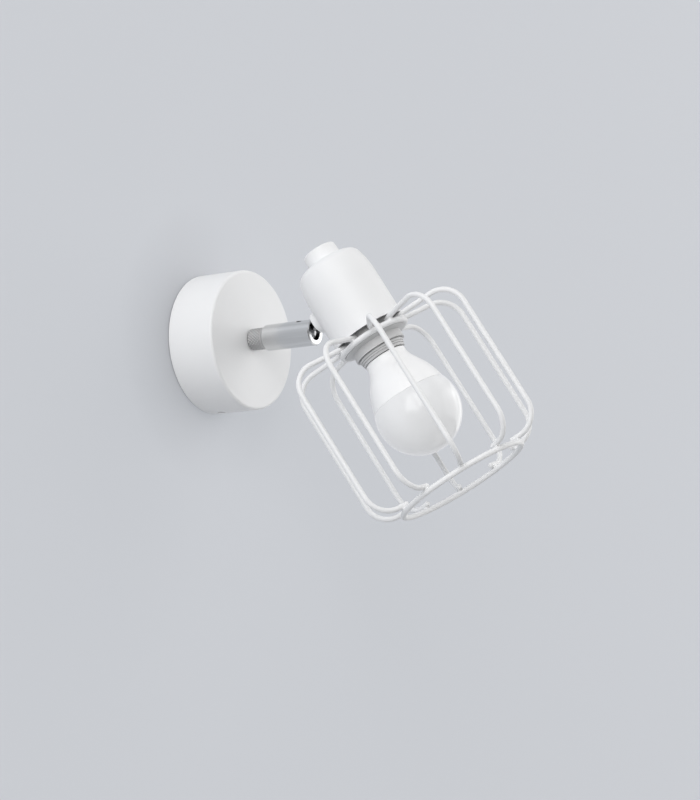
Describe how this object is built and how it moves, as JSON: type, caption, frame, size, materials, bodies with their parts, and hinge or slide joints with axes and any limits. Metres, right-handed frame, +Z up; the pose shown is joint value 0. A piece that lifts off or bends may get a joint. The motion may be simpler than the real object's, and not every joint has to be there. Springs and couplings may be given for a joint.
{
  "type": "spotlight",
  "caption": "White wall spotlight: round rose, swivel tube with a ball joint, domed lampholder cup and an open wire cage round a small screw-cap bulb.",
  "frame": {"origin": "centre of the rose's back, on the wall and midway between the two wall screw slots", "axes": "+Z up, +Y into the wall, +X to the right as seen from the room"},
  "size_m": [0.1153, 0.1812, 0.1465],
  "materials": {
    "white_powder_coat": "fine matt powder coat",
    "satin_nickel": "satin plated",
    "bright_chrome": "polished plating",
    "grey_knurled": "knurled and dull",
    "zinc_steel": "zinc plated",
    "holder_plastic": "moulded, matt",
    "block_plastic": "moulded",
    "black_plastic": "moulded, low friction",
    "black_glass_plastic": "glassy",
    "brass": "plain",
    "bulb_cap_metal": "rolled thin sheet",
    "bulb_plastic": "smooth glossy",
    "frosted_dome": "frosted and a little translucent",
    "led_board": "white solder mask",
    "led_phosphor": "phosphor coated",
    "driver_board": "solder mask"
  },
  "bodies": {
    "wall_base": {"wall_rose": "white_powder_coat", "wall_bracket": "zinc_steel", "cover_screw_top": "white_powder_coat", "cover_screw_bottom": "white_powder_coat", "terminal_block": "block_plastic", "terminal_block_screws": "brass", "earth_screw": "brass", "base_stem": "satin_nickel", "knurled_collar": "grey_knurled", "base_lock_washer": "zinc_steel", "base_nut": "zinc_steel", "friction_washer": "black_plastic", "retaining_ring": "zinc_steel"},
    "arm": {"swivel_tube": "satin_nickel", "swivel_bush": "black_plastic", "spring_washers": "zinc_steel", "ball_seat": "black_plastic", "joint_grub_screw": "zinc_steel"},
    "ball_stem": {"ball_stem": "bright_chrome", "stem_washer": "zinc_steel", "stem_nut": "zinc_steel"},
    "head": {"saddle_washer": "white_powder_coat", "inner_saddle": "zinc_steel", "lamp_cup": "white_powder_coat", "end_cap": "white_powder_coat", "cup_nipple": "zinc_steel", "nipple_washer": "zinc_steel", "nipple_nut": "zinc_steel", "holder_cap": "holder_plastic", "holder_body": "holder_plastic", "holder_screw_shell": "bulb_cap_metal", "holder_centre_contact": "brass", "holder_terminal_left": "brass", "holder_terminal_right": "brass", "holder_terminal_screws": "zinc_steel", "shade_ring": "holder_plastic", "cage_top_ring": "white_powder_coat", "cage_wire_01": "white_powder_coat", "cage_wire_02": "white_powder_coat", "cage_wire_03": "white_powder_coat", "cage_wire_04": "white_powder_coat", "cage_wire_05": "white_powder_coat", "cage_wire_06": "white_powder_coat", "cage_wire_07": "white_powder_coat", "cage_wire_08": "white_powder_coat", "cage_wire_09": "white_powder_coat", "cage_wire_10": "white_powder_coat", "cage_bottom_ring": "white_powder_coat", "bulb_tip_contact": "bulb_cap_metal", "bulb_insulator": "black_glass_plastic", "bulb_screw_shell": "bulb_cap_metal", "bulb_housing": "bulb_plastic", "bulb_dome": "frosted_dome", "bulb_led_board": "led_board", "bulb_leds": "led_phosphor", "bulb_driver_board": "driver_board"}
  },
  "joints": [
    {"name": "arm_swivel", "type": "hinge", "parent": "wall_base", "child": "arm", "pos_m": [0, -0.05, 0], "axis": [0, -1, 0], "range_deg": [-175, 175]},
    {"name": "head_tilt", "type": "hinge", "parent": "arm", "child": "ball_stem", "pos_m": [0, -0.06205, 0], "axis": [-0.9945, 0, -0.1045], "range_deg": [-40.2, 1.8]},
    {"name": "head_spin", "type": "hinge", "parent": "ball_stem", "child": "head", "pos_m": [0, -0.06205, 0], "axis": [-0.0494, -0.8813, 0.47], "range_deg": [-97.8, 82.2]}
  ]
}
